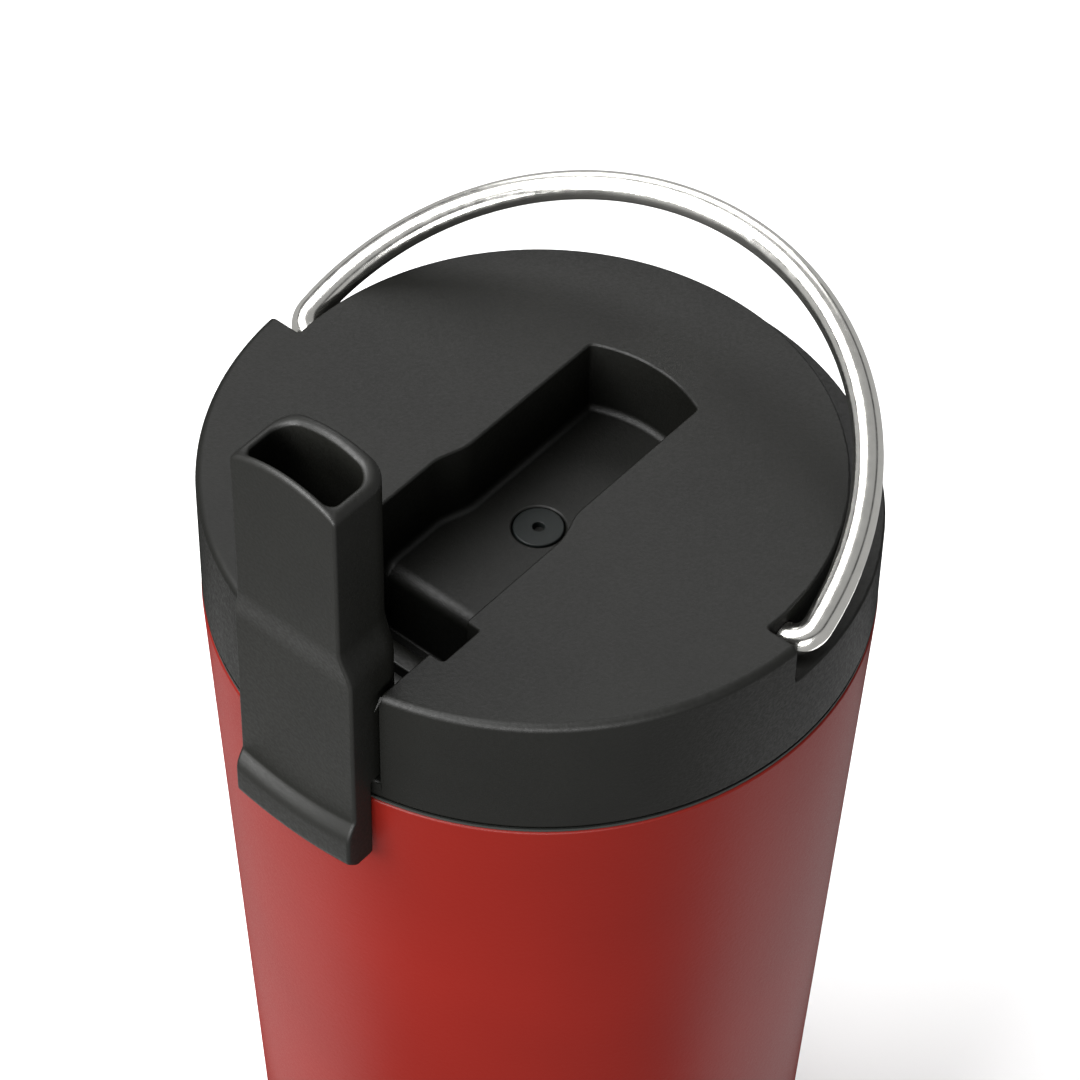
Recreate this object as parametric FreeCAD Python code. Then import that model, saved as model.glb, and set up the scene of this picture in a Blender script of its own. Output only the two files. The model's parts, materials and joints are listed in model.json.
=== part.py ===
import FreeCAD, Part
import math
import os

# Insulated travel mug: double-walled steel cup, screw-on lid, flip-up drinking
# spout and a steel bail.  Millimetres, +Z up, origin at the centre of the foot
# pad's underside.  The spout stands at the front (-Y), the bail pivots on X.

V = FreeCAD.Vector
UP = V(0, 0, 1)
ALONG_X = V(1, 0, 0)
ALONG_Y = V(0, 1, 0)

# ---------------------------------------------------------------- whole mug
TOP = 182.0            # height of the lid's top face
LID_R = 45.0           # lid outer radius
CUP_R = 45.07          # cup outer radius at its lip
TAPER = 0.045          # cup radius lost per millimetre of depth
REACH = 80.0           # longer than any cut needs to be

# ---------------------------------------------------------------- lid cover
SKIRT_DEEP = 19.9      # skirt's lower edge, below the top face
SKIRT_WALL = 2.6
TOP_PLATE = 2.6
CROWN_EDGE = 1.0       # rounding of the front top edge
LEDGE_R = 40.0         # wall behind the folded bail
LEDGE_DEEP = 6.5
LEDGE_FRONT = -3.2     # where the ledge ends against a step
EDGE = 0.5             # small moulded roundings
WALL = 1.8             # walls of the groove and pocket

# ------------------------------------------- spout groove in the lid's top
GROOVE_DEEP = 12.0
GROOVE_NARROW = 9.1    # half width over the spout's narrow end
GROOVE_WIDE = 10.6     # half width over its wide end
BEND_Y = (-3.0, -9.5)  # where the side wall changes from narrow to wide
GROOVE_END = 22.9      # furthest point of the rounded far end
GROOVE_END_R = 20.0
GROOVE_FLOOR_R = 1.0
GROOVE_LIP_Y = -19.2   # floor rolls over into the pocket here
GROOVE_LIP_R = 2.0
POCKET_DEEP = 23.2
POCKET_FRONT = -36.25
SLOT_HALF = GROOVE_WIDE  # slot through the skirt, in line with the groove
SLOT_DEEP = 16.75      # the skirt's ring closes it below this
SLOT_FLOOR_R = 1.2

# ---------------------------------------------------------------- spout
PIVOT_Y = -30.65
PIVOT_DEEP = 17.15
PIVOT_Z = TOP - PIVOT_DEEP
TRUNNION_R = 3.3
TRUNNION_GAP = 0.15
TRUNNION_END = 12.5    # outer end of each trunnion
TRUNNION_SLOT_END = 12.8
SPOUT_NARROW = 8.5     # half widths
SPOUT_WIDE = 9.8
SPOUT_FRONT = -47.8
SPOUT_PROUD = 0.6      # the narrow end's front face stands this far further out
SPOUT_BACK = -38.0
SPOUT_BEND = (10.4, 3.6)  # heights above the lid's top of the bend's two ends
SPOUT_TIP = 36.05      # height of the tip's middle above the lid's top
TIP_R = 19.5           # the tip matches the groove's rounded end
FRONT_EDGE_R = 0.4
BACK_EDGE_R = 3.0
BORE_HALF = 6.8
BORE_Y = (-46.85, -40.3)
MOUTH_HALF = 7.0       # the bore is wider from the bend to the mouth
MOUTH_Y = (-47.35, -40.15)
TIP_EDGE_R = 0.45
DRUM_R = 5.2
NECK_UNDER = 16.5      # depth of the neck's flat underside
NECK_RISE = 7.6        # neck meets the tube's back this far above the pivot
NECK_RUN = 3.4         # and the notch this far in front of it
NOTCH = 2.65           # height of the notch's floor above the pivot
TAIL_BACK_R = 45.4     # the tail's hollow back clears the skirt's ring
LIP_OUT = -49.1        # thumb lip's proud face
LIP_TOP = 23.3         # depths of the lip and of the tail's end, at its middle
LIP_FACE = (25.2, 30.4)
TAIL_END = 32.0
SHUT_AXIS_Z = PIVOT_Z - PIVOT_Y  # where the lid's axis lies on the open spout
VENT_PLUG_R = 2.8
VENT_SEAT_R = 3.57
VENT_Y = -0.5          # the vent is a little in front of the lid's centre

# ---------------------------------------------------------------- lid base
FLANGE = (20.1, 20.5)  # thin ring that shows between skirt and cup
FLANGE_R = 44.9
PLUG_R = 40.9
PLUG_WALL = 1.6
PLUG_END = 40.0
PLUG_FLOOR = 1.8
RIB_R = 42.3
RIB_TOP = 18.8
DUCT_HALF = (5.5, 2.35)  # drinking duct, half sizes in X and Y
DUCT_WALL = 1.5
VENT_R = 1.2
CHIMNEY_R = 3.2

# ---------------------------------------------------------------- screw
LEAD = 12.0            # rise in one turn
STARTS = 3
PLUG_THREAD = (25.5, 34.0)
NECK_THREAD = (24.5, 33.0)
PLUG_CREST = 41.85
NECK_CREST = 41.35
RIDGE_ROOT = 1.6       # axial width of a ridge at its root and at its crest
RIDGE_CREST = 0.7
BITE = 0.3             # how far a ridge's root reaches into its wall

# ---------------------------------------------------------------- cup
LIP_DEEP = 20.6
LIP_Z = TOP - LIP_DEEP
SHELL_WALL = 0.6
SHELL_FOOT = 1.0       # shell's lower edge
HEEL_R = 5.0
LINER_WALL = 0.4
NECK_R = 42.2
NECK_END = LIP_Z - 21.5
BOWL_R = 39.6          # liner radius just under the neck
BOWL_TOP = NECK_END - 4.0
BOWL_FLOOR = 12.0
BOWL_CORNER = 7.0
PAN_R = 32.9           # base cover
PAD_R = 28.6

# ---------------------------------------------------------------- bail
BAIL_R = 43.3          # centre line of the rod
ROD_R = 2.0
BAIL_DEEP = 4.0        # pivot below the lid's top
BAIL_TILT = 25.0       # rest angle above level
BAIL_BEND = 3.0
PIN_END = 32.8
BUSH_R = 3.0
BUSH_GAP = 0.05
BUSH_STOP = 0.6        # wall that stops the bush from coming out
CLIP = (33.7, 34.3)    # retaining clip along X


def level(depth):
    """Height of a level given as a depth below the lid's top face."""
    return TOP - depth


def shell_r(height):
    """Outer radius of the tapered cup at a height."""
    return CUP_R - TAPER * (LIP_Z - height)


def bowl_r(height):
    """Inner radius of the liner at a height below its neck."""
    return BOWL_R - TAPER * (BOWL_TOP - height)


# ------------------------------------------------------------ shape helpers
def disc(radius, low, high, x=0.0, y=0.0):
    return Part.makeCylinder(radius, high - low, V(x, y, low), UP)


def tube(inner, outer, low, high, x=0.0, y=0.0):
    return disc(outer, low, high, x, y).cut(disc(inner, low - 1, high + 1, x, y))


def rounded_disc(radius, low, high, edge):
    """Cylinder with its top edge rounded."""
    body = disc(radius, low, high)
    rim = [e for e in body.Edges if e.BoundBox.ZMin > high - 0.01]
    return body.makeFillet(edge, rim)


def block(x, y, z):
    """Box between pairs of limits."""
    return Part.makeBox(x[1] - x[0], y[1] - y[0], z[1] - z[0], V(x[0], y[0], z[0]))


def rod_x(radius, x, y, z):
    return Part.makeCylinder(radius, x[1] - x[0], V(x[0], y, z), ALONG_X)


def outline(start, *steps):
    """Closed wire: a step is a point, or a (middle, end) pair for an arc."""
    edges = []
    here = start
    for step in steps:
        if isinstance(step, tuple):
            edges.append(Part.Arc(here, step[0], step[1]).toShape())
            here = step[1]
        else:
            edges.append(Part.LineSegment(here, step).toShape())
            here = step
    if here.distanceToPoint(start) > 1e-6:
        edges.append(Part.LineSegment(here, start).toShape())
    return Part.Wire(edges)


def prism(wire, travel):
    return Part.Face(wire).extrude(travel)


def turned(start, *steps):
    """Solid of revolution about Z from an outline in the XZ plane."""
    return Part.Face(outline(start, *steps)).revolve(V(0, 0, 0), UP, 360)


def rz(radius, height):
    return V(radius, 0, height)


def yz_prism(half, start, *steps):
    """Prism across X of an outline drawn at x = -half."""
    return prism(outline(start, *steps), V(2 * half, 0, 0))


def corner(centre, radius, first, last):
    """(middle, end) of a round corner in plan, angles in degrees."""
    points = []
    for angle in ((first + last) / 2.0, last):
        turn = math.radians(angle)
        points.append(centre + V(radius * math.cos(turn), radius * math.sin(turn), 0))
    return tuple(points)


def d_section(half, front, back, front_r, back_r, z):
    """Plan outline with small front corners and larger back corners."""
    return outline(
        V(-half + front_r, front, z),
        V(half - front_r, front, z),
        corner(V(half - front_r, front + front_r, z), front_r, -90, 0),
        V(half, back - back_r, z),
        corner(V(half - back_r, back - back_r, z), back_r, 0, 90),
        V(-half + back_r, back, z),
        corner(V(-half + back_r, back - back_r, z), back_r, 90, 180),
        V(-half, front + front_r, z),
        corner(V(-half + front_r, front + front_r, z), front_r, 180, 270),
    )


def one_solid(shape):
    """The single solid of a boolean result, with split faces joined."""
    merged = shape.removeSplitter()
    solids = merged.Solids
    assert len(solids) == 1, "expected one solid, found %d" % len(solids)
    return solids[0]


def save(name, shape):
    assert shape.isValid(), name
    shape.exportStep("parts/%s.step" % name)
    print("%-18s %2d solid(s) %10.1f mm3" % (name, len(shape.Solids), shape.Volume))


# --------------------------------------------------------------- lid cover
def s_bend(x_from, x_to, y_from, y_to):
    """Two equal arcs that carry a side wall sideways, tangent at both ends."""
    shift = x_to - x_from
    run = y_to - y_from
    turn = 2.0 * math.atan2(abs(shift), abs(run))
    radius = abs(run) / 2.0 / math.sin(turn)
    side = math.copysign(1.0, shift)
    way = math.copysign(1.0, run)
    half_x = side * radius * (1 - math.cos(turn / 2.0))
    half_y = way * radius * math.sin(turn / 2.0)
    middle = V((x_from + x_to) / 2.0, (y_from + y_to) / 2.0, 0)
    first = (V(x_from + half_x, y_from + half_y, 0), middle)
    second = (V(x_to - half_x, y_to - half_y, 0), V(x_to, y_to, 0))
    return first, second


def groove_plan(grow, front, z):
    """Plan of the spout groove, grown outwards by a wall thickness."""
    narrow = GROOVE_NARROW + grow
    wide = GROOVE_WIDE + grow
    end_r = GROOVE_END_R + grow
    end_y = GROOVE_END + grow
    side_end = end_y - end_r + math.sqrt(end_r ** 2 - narrow ** 2)
    out_a, out_b = s_bend(narrow, wide, *BEND_Y)
    back_a, back_b = s_bend(-wide, -narrow, BEND_Y[1], BEND_Y[0])
    wire = outline(
        V(narrow, side_end, 0),
        V(narrow, BEND_Y[0], 0), out_a, out_b,
        V(wide, front, 0), V(-wide, front, 0),
        V(-wide, BEND_Y[1], 0), back_a, back_b,
        V(-narrow, side_end, 0),
        (V(0, end_y, 0), V(narrow, side_end, 0)),
    )
    wire.translate(V(0, 0, z))
    return wire


def groove_cutter():
    """Air of the groove: rounded floor corners and a rolled near edge."""
    air = prism(groove_plan(0, PIVOT_Y, level(GROOVE_DEEP)), V(0, 0, GROOVE_DEEP + 1))
    floor_edges = []
    for edge in air.Edges:
        box = edge.BoundBox
        if box.ZMax < level(GROOVE_DEEP) + 0.01 and box.YMax > PIVOT_Y + 0.1:
            floor_edges.append(edge)
    air = air.makeFillet(GROOVE_FLOOR_R, floor_edges)
    half = GROOVE_WIDE
    roll_y = GROOVE_LIP_Y + GROOVE_LIP_R
    roll_z = level(GROOVE_DEEP + GROOVE_LIP_R)
    bow = GROOVE_LIP_R * (1 - math.sqrt(0.5))
    over_edge = yz_prism(
        half,
        V(-half, PIVOT_Y, roll_z),
        V(-half, GROOVE_LIP_Y, roll_z),
        (V(-half, GROOVE_LIP_Y + bow, level(GROOVE_DEEP + bow)),
         V(-half, roll_y, level(GROOVE_DEEP))),
        V(-half, PIVOT_Y, level(GROOVE_DEEP)),
    )
    pocket = block((-half, half), (POCKET_FRONT, GROOVE_LIP_Y), (level(POCKET_DEEP), TOP + 1))
    return air.fuse([over_edge, pocket])


def trunnion_slots(grow):
    """Room for both trunnions, open upwards; grown, it is the walls around them."""
    half = TRUNNION_SLOT_END + grow
    radius = TRUNNION_R + TRUNNION_GAP + grow
    shaft = block((-half, half), (PIVOT_Y - radius, PIVOT_Y + radius), (PIVOT_Z, TOP + 1))
    return shaft.fuse(rod_x(radius, (-half, half), PIVOT_Y, PIVOT_Z))


def lid_outer():
    low = level(SKIRT_DEEP)
    core = rounded_disc(LEDGE_R, low, TOP, EDGE)
    crown = rounded_disc(LID_R, low, TOP, CROWN_EDGE)
    crown = crown.common(block((-REACH, REACH), (-REACH, LEDGE_FRONT), (low, TOP)))
    ledge = rounded_disc(LID_R, low, level(LEDGE_DEEP), EDGE)
    return core.fuse([crown, ledge])


def lid_hollow():
    """Space under the top plate, clear of the ledge and of its step walls."""
    low = level(SKIRT_DEEP) - 1
    inside = LID_R - SKIRT_WALL
    under_plate = level(TOP_PLATE)
    middle = disc(LEDGE_R - 2.2, low, under_plate)
    lower = disc(inside, low, level(LEDGE_DEEP + 2.2))
    front = disc(inside, low, under_plate)
    front = front.common(block((-REACH, REACH), (-REACH, LEDGE_FRONT - 2.2), (low, TOP)))
    return middle.fuse([lower, front])


def lid_inner_walls():
    """Walls of groove, pocket, trunnion slots, front slot and bail bosses."""
    groove = prism(groove_plan(WALL, PIVOT_Y, level(GROOVE_DEEP + WALL)),
                   V(0, 0, GROOVE_DEEP + WALL - 1))
    pocket_half = GROOVE_WIDE + WALL
    pocket = block((-pocket_half, pocket_half),
                   (POCKET_FRONT - WALL, GROOVE_LIP_Y + WALL),
                   (level(POCKET_DEEP + WALL), level(1)))
    slot_half = SLOT_HALF + WALL
    front = block((-slot_half, slot_half), (-LID_R, PIVOT_Y), (level(SLOT_DEEP + WALL), level(1)))
    front = front.common(disc(LID_R - 1, level(SLOT_DEEP + WALL), TOP))
    slots = trunnion_slots(1.4).common(block((-REACH, REACH), (-REACH, REACH), (0, level(1))))
    walls = groove.fuse([pocket, front, slots])
    for side in (-1, 1):
        near, far = sorted((side * 34.6, side * (LEDGE_R - 1)))
        boss = rod_x(BUSH_R + 1.8, (near, far), 0, level(BAIL_DEEP))
        walls = walls.fuse(boss.common(disc(LEDGE_R, level(15), level(1))))
    low = level(POCKET_DEEP + 4)
    room = disc(PLUG_R - PLUG_WALL - 0.2, low, level(RIB_TOP - 0.1))
    room = room.fuse(disc(LID_R - 1, level(RIB_TOP - 0.1), TOP))
    return walls.common(room)


def snap_bumps():
    """Four small ridges that keep the trunnions down in their slots."""
    reach = TRUNNION_R + TRUNNION_GAP
    bumps = []
    for side in (-1, 1):
        x = sorted((side * GROOVE_WIDE, side * (TRUNNION_SLOT_END + 0.5)))
        for way in (-1, 1):
            bumps.append(rod_x(0.5, x, PIVOT_Y + way * (reach + 0.1), PIVOT_Z + 3.4))
    return bumps


def duct_hole(low, high, grow=0.0):
    """Rounded oblong duct under the drum."""
    half_x = DUCT_HALF[0] + grow
    half_y = DUCT_HALF[1] + grow
    wire = d_section(half_x, PIVOT_Y - half_y, PIVOT_Y + half_y,
                     half_y - 0.05, half_y - 0.05, low)
    return prism(wire, V(0, 0, high - low))


def front_slot():
    """Air of the slot through the skirt, with rounded floor corners."""
    back = PIVOT_Y - TRUNNION_R - TRUNNION_GAP
    floor = level(SLOT_DEEP)
    slot = block((-SLOT_HALF, SLOT_HALF), (-REACH, back), (floor, TOP + 1))
    corners = []
    for edge in slot.Edges:
        box = edge.BoundBox
        if box.ZMax < floor + 0.01 and box.YMax - box.YMin > 1:
            corners.append(edge)
    return slot.makeFillet(SLOT_FLOOR_R, corners)


def lid_cover():
    shell = lid_outer().cut(lid_hollow()).fuse(lid_inner_walls())
    shell = shell.cut(groove_cutter())
    shell = shell.cut(front_slot())
    shell = shell.cut(trunnion_slots(0))
    shell = shell.cut(duct_hole(level(POCKET_DEEP + 4), level(POCKET_DEEP - 1)))
    shell = shell.cut(disc(VENT_SEAT_R, level(GROOVE_DEEP + 0.9), TOP, y=VENT_Y))
    shell = shell.cut(disc(2.2, level(GROOVE_DEEP + 4), TOP, y=VENT_Y))
    for side in (-1, 1):
        bore = sorted((side * 30.0, side * (LEDGE_R - BUSH_STOP)))
        opening = sorted((side * 30.0, side * (LEDGE_R + 1)))
        shell = shell.cut(rod_x(BUSH_R, bore, 0, level(BAIL_DEEP)))
        shell = shell.cut(rod_x(ROD_R + 0.15, opening, 0, level(BAIL_DEEP)))
    return one_solid(shell.fuse(snap_bumps()))


# ------------------------------------------------------- other lid pieces
def thread(crest, root, span, shift):
    """Helical ridges between two depths; a crest outside its root is external."""
    height = span[1] - span[0]
    way = math.copysign(1.0, crest - root)
    base = root - way * BITE
    ridges = []
    for start in range(STARTS):
        low = level(span[1])
        path = Part.makeHelix(LEAD, height, root)
        section = Part.makePolygon([
            V(base, 0, -RIDGE_ROOT / 2.0), V(crest, 0, -RIDGE_CREST / 2.0),
            V(crest, 0, RIDGE_CREST / 2.0), V(base, 0, RIDGE_ROOT / 2.0),
            V(base, 0, -RIDGE_ROOT / 2.0)])
        ridge = Part.Wire(path.Edges).makePipeShell([section], True, True)
        phase = 360.0 * (start / float(STARTS) + (low - shift) / LEAD)
        ridge.rotate(V(0, 0, 0), UP, phase)
        ridge.translate(V(0, 0, low))
        ridges.append(ridge)
    return ridges


def lid_base():
    """Threaded plug under the cover, with drinking duct and vent chimney."""
    inner = PLUG_R - PLUG_WALL
    low = level(PLUG_END)
    floor = level(PLUG_END - PLUG_FLOOR)
    wall = turned(
        rz(0, low), rz(PLUG_R - 1.5, low), rz(PLUG_R, low + 1.5),
        rz(PLUG_R, level(FLANGE[1])), rz(FLANGE_R, level(FLANGE[1])),
        rz(FLANGE_R, level(FLANGE[0])), rz(RIB_R, level(FLANGE[0])),
        rz(RIB_R, level(RIB_TOP)), rz(inner, level(RIB_TOP)),
        rz(inner, floor), rz(0, floor))
    chimney = disc(CHIMNEY_R, low + 0.5, level(GROOVE_DEEP + 3), y=VENT_Y)
    duct = duct_hole(low + 0.5, level(POCKET_DEEP + WALL + 0.9), DUCT_WALL)
    plug = wall.fuse([chimney, duct])
    plug = plug.cut(disc(VENT_R, low - 1, TOP, y=VENT_Y))
    plug = plug.cut(duct_hole(low - 1, TOP))
    ridges = thread(PLUG_CREST, PLUG_R, PLUG_THREAD, 0.0)
    return one_solid(plug.fuse(ridges))


def lid_insulation():
    """Foam puck that fills the plug below the pocket."""
    puck = disc(PLUG_R - PLUG_WALL - 0.2, level(PLUG_END - PLUG_FLOOR - 0.1), level(26.6))
    puck = puck.cut(disc(CHIMNEY_R + 0.2, 0, TOP, y=VENT_Y))
    return puck.cut(duct_hole(0, TOP, DUCT_WALL + 0.2))


def lid_gasket():
    """Silicone ring with two wiper lips, under the flange."""
    top = level(FLANGE[1] + 0.05)
    root = PLUG_R + 0.05
    lips = [rz(root, top), rz(NECK_R - 0.2, top)]
    for step in (0.0, 1.3):
        lips += [rz(NECK_R - 0.1, top - 0.35 - step), rz(NECK_R - 0.6, top - 0.9 - step)]
    lips += [rz(NECK_R - 0.5, top - 2.7), rz(root, top - 2.7)]
    return turned(*lips)


def spout_seal():
    """Silicone seat that the spout's drum turns in."""
    pad = block((-GROOVE_WIDE + 0.4, GROOVE_WIDE - 0.4),
                (POCKET_FRONT + 0.2, PIVOT_Y + DRUM_R + 0.3),
                (level(POCKET_DEEP), level(POCKET_DEEP - 2.8)))
    pad = pad.cut(rod_x(DRUM_R + 0.1, (-REACH, REACH), PIVOT_Y, PIVOT_Z))
    return one_solid(pad.cut(duct_hole(0, TOP)))


def duct_gasket():
    """Ring between the pocket's underside and the plug's duct."""
    low = level(POCKET_DEEP + WALL + 0.9)
    ring = duct_hole(low, level(POCKET_DEEP + WALL), DUCT_WALL)
    return ring.cut(duct_hole(0, TOP))


def vent_grommet():
    """Silicone button in the groove floor, with the air hole through it."""
    top = level(GROOVE_DEEP)
    button = turned(
        rz(0.8, top - 0.1), rz(0.9, top), rz(3.2, top), rz(3.42, top - 0.25),
        rz(3.42, top - 0.85), rz(2.1, top - 0.85), rz(2.1, top - WALL - 0.05),
        rz(2.9, top - WALL - 0.05), rz(2.3, top - WALL - 1.1), rz(0.8, top - WALL - 1.1))
    button.translate(V(0, VENT_Y, 0))
    return button


def bail_bush(side):
    """Sleeve in the lid's boss that the bail's end turns in."""
    x = sorted((side * 34.7, side * (LEDGE_R - BUSH_STOP - 0.05)))
    sleeve = rod_x(BUSH_R - 0.02, x, 0, level(BAIL_DEEP))
    return sleeve.cut(rod_x(ROD_R + BUSH_GAP, (-REACH, REACH), 0, level(BAIL_DEEP)))


# --------------------------------------------------------------- the spout
def spout_tube():
    """Outer form of the tube: narrow end, bend, wide end."""
    bend_top = level(-SPOUT_BEND[0])
    bend_low = level(-SPOUT_BEND[1])

    def section(share, z):
        half = SPOUT_WIDE + (SPOUT_NARROW - SPOUT_WIDE) * share
        front = SPOUT_FRONT - SPOUT_PROUD * share
        return d_section(half, front, SPOUT_BACK, FRONT_EDGE_R, BACK_EDGE_R, z)

    narrow = prism(section(1, bend_top), V(0, 0, level(-SPOUT_TIP - 3) - bend_top))
    wide = prism(section(0, level(NECK_UNDER)), V(0, 0, bend_low - level(NECK_UNDER)))
    steps = 8
    sections = []
    for i in range(steps + 1):
        share = i / float(steps)
        ease = share * share * (3 - 2 * share)
        sections.append(section(ease, bend_low + (bend_top - bend_low) * share))
    bend = Part.makeLoft(sections, True, False)
    body = narrow.fuse([bend, wide])
    crown = Part.makeCylinder(TIP_R, REACH, V(0, -REACH, level(-SPOUT_TIP + TIP_R)), ALONG_Y)
    below = block((-REACH, REACH), (-REACH, 0), (0, level(-SPOUT_TIP + TIP_R)))
    return body.common(crown.fuse(below))


def spout_tail():
    """Panel in front of the skirt's ring, ending in the thumb lip.

    The lip and the end are turned about the lid's axis as it lies on the shut spout,
    so that they follow the lid's round edge.
    """
    half = SPOUT_WIDE
    top = level(NECK_UNDER) + 0.5
    inside = -TAIL_BACK_R + 2
    profile = outline(
        V(0, SPOUT_FRONT, top),
        V(0, SPOUT_FRONT, level(LIP_TOP)),
        V(0, LIP_OUT, level(LIP_FACE[0])),
        V(0, LIP_OUT, level(LIP_FACE[1])),
        V(0, LIP_OUT + 1.6, level(TAIL_END)),
        V(0, inside, level(TAIL_END)),
        V(0, inside, top),
    )
    ring = Part.Face(profile).revolve(V(0, 0, SHUT_AXIS_Z), ALONG_Y, 360)
    joint = level(LIP_TOP - 1.4)
    plan = d_section(half, SPOUT_FRONT, inside, FRONT_EDGE_R, 0.4, joint)
    panel = prism(plan, V(0, 0, top + 2 - joint))
    lip_plan = d_section(half, LIP_OUT, inside, FRONT_EDGE_R, 0.4, level(TAIL_END + 1))
    lip = prism(lip_plan, V(0, 0, joint - level(TAIL_END + 1)))
    tail = ring.common(panel.fuse(lip))
    return tail.cut(disc(TAIL_BACK_R, level(TAIL_END + 1), TOP))


def spout_drum():
    """Neck behind the tube and the drum that turns in the seat."""
    half = SPOUT_WIDE
    bottom = level(NECK_UNDER)
    crest = PIVOT_Z + DRUM_R
    neck = yz_prism(
        half,
        V(-half, SPOUT_BACK - BACK_EDGE_R, bottom),
        V(-half, SPOUT_BACK - BACK_EDGE_R, PIVOT_Z + NECK_RISE + BACK_EDGE_R),
        V(-half, SPOUT_BACK, PIVOT_Z + NECK_RISE),
        V(-half, PIVOT_Y - NECK_RUN, PIVOT_Z + NOTCH),
        V(-half, PIVOT_Y - NECK_RUN, bottom),
    )
    notch = block((-REACH, REACH), (PIVOT_Y - DRUM_R, PIVOT_Y), (PIVOT_Z + NOTCH, crest + 1))
    drum = rod_x(DRUM_R, (-half, half), PIVOT_Y, PIVOT_Z).cut(notch)
    trunnions = rod_x(TRUNNION_R, (-TRUNNION_END, TRUNNION_END), PIVOT_Y, PIVOT_Z)
    return neck.fuse([drum, trunnions])


def spout_bore():
    """Path of the drink: port under the drum, throat, tube and mouth."""
    half = BORE_HALF
    floor = level(NECK_UNDER - 0.8)
    ceiling = PIVOT_Z + NOTCH - 0.8
    back = BORE_Y[1]
    tube_air = prism(d_section(half, BORE_Y[0], back, 1.2, 2.6, floor), V(0, 0, REACH))
    mouth = d_section(MOUTH_HALF, MOUTH_Y[0], MOUTH_Y[1], 1.5, 2.6, level(-SPOUT_BEND[0]))
    mouth_air = prism(mouth, V(0, 0, REACH))
    passage = yz_prism(
        half,
        V(-half, back - 1.5, floor),
        V(-half, PIVOT_Y - DRUM_R, floor),
        V(-half, PIVOT_Y - 3.9, PIVOT_Z + 0.6),
        V(-half, PIVOT_Y - 3.0, PIVOT_Z - 2.4),
        V(-half, PIVOT_Y + 3.0, PIVOT_Z - 2.4),
        V(-half, PIVOT_Y + 3.2, ceiling - 0.2),
        V(-half, PIVOT_Y - NECK_RUN - 0.7, ceiling),
        V(-half, back, PIVOT_Z + NECK_RISE + 1.2),
        V(-half, back - 1.5, PIVOT_Z + NECK_RISE + 1.2),
    )
    port = duct_hole(PIVOT_Z - DRUM_R - 1, PIVOT_Z - 2.0)
    return tube_air.fuse([mouth_air, passage, port])


def vent_plug_height():
    """Height of the vent plug on the open spout, over the grommet when shut."""
    return SHUT_AXIS_Z + VENT_Y


def rounded_tip(body):
    """Round the mouth's outer and inner edges."""
    low = level(-SPOUT_TIP + 3.0)
    rim = []
    for edge in body.Edges:
        box = edge.BoundBox
        near_top = box.ZMin >= low and box.ZMax > level(-SPOUT_TIP + 2.6) - 0.01
        if near_top and edge.Length > 0.05 and box.ZMax - box.ZMin < 2.5:
            rim.append(edge)
    return body.makeFillet(TIP_EDGE_R, rim)


def spout():
    body = spout_tube().fuse([spout_tail(), spout_drum()]).removeSplitter()
    body = body.cut(spout_bore())
    stem = Part.makeCylinder(1.5, 1.2, V(0, SPOUT_BACK - 1.2, vent_plug_height()), ALONG_Y)
    body = rounded_tip(body)
    return one_solid(body.cut(stem))


def vent_plug():
    """Silicone nub on the spout's back that shuts the vent."""
    reach = (PIVOT_Y - SPOUT_BACK) - (PIVOT_DEEP - GROOVE_DEEP) - 0.12
    nub = turned(
        rz(0, -1.15), rz(1.45, -1.15), rz(1.45, 0), rz(VENT_PLUG_R, 0),
        rz(VENT_PLUG_R, reach - 0.9),
        (rz(VENT_PLUG_R - 0.5, reach - 0.3), rz(1.2, reach)), rz(0, reach))
    nub.rotate(V(0, 0, 0), ALONG_X, -90)
    nub.translate(V(0, SPOUT_BACK, vent_plug_height()))
    return nub


# ---------------------------------------------------------------- the bail
def bail_handle():
    """Bent rod: half circle with both ends turned in, drawn flat then tilted."""
    run = BAIL_R - BAIL_BEND
    centre_x = math.sqrt(run ** 2 - BAIL_BEND ** 2)
    rise = math.asin(BAIL_BEND / run)
    join = V(BAIL_R * math.cos(rise), BAIL_R * math.sin(rise), 0)
    half_turn = (math.pi / 2 + rise) / 2.0
    middle = V(centre_x + BAIL_BEND * math.sin(half_turn),
               BAIL_BEND - BAIL_BEND * math.cos(half_turn), 0)

    def mirrored(p):
        return V(-p.x, p.y, p.z)

    end = V(PIN_END, 0, 0)
    turn_in = V(centre_x, 0, 0)
    path = Part.Wire([
        Part.LineSegment(end, turn_in).toShape(),
        Part.Arc(turn_in, middle, join).toShape(),
        Part.Arc(join, V(0, BAIL_R, 0), mirrored(join)).toShape(),
        Part.Arc(mirrored(join), mirrored(middle), mirrored(turn_in)).toShape(),
        Part.LineSegment(mirrored(turn_in), mirrored(end)).toShape(),
    ])
    section = Part.Wire(Part.makeCircle(ROD_R, end, ALONG_X))
    rod = path.makePipeShell([section], True, False)
    for side in (-1, 1):
        x = sorted((side * (CLIP[0] - 0.05), side * (CLIP[1] + 0.05)))
        rod = rod.cut(rod_x(ROD_R + 1, x, 0, 0).cut(rod_x(ROD_R - 0.5, x, 0, 0)))
    rod.rotate(V(0, 0, 0), ALONG_X, BAIL_TILT)
    rod.translate(V(0, 0, level(BAIL_DEEP)))
    return one_solid(rod)


def bail_clip(side):
    """Open retaining clip in the groove of a pin."""
    x = sorted((side * CLIP[0], side * CLIP[1]))
    z = level(BAIL_DEEP)
    clip = rod_x(BUSH_R - 0.2, x, 0, z).cut(rod_x(ROD_R - 0.45, x, 0, z))
    return clip.cut(block(x, (-1.2, 1.2), (z - 5, z)))


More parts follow.
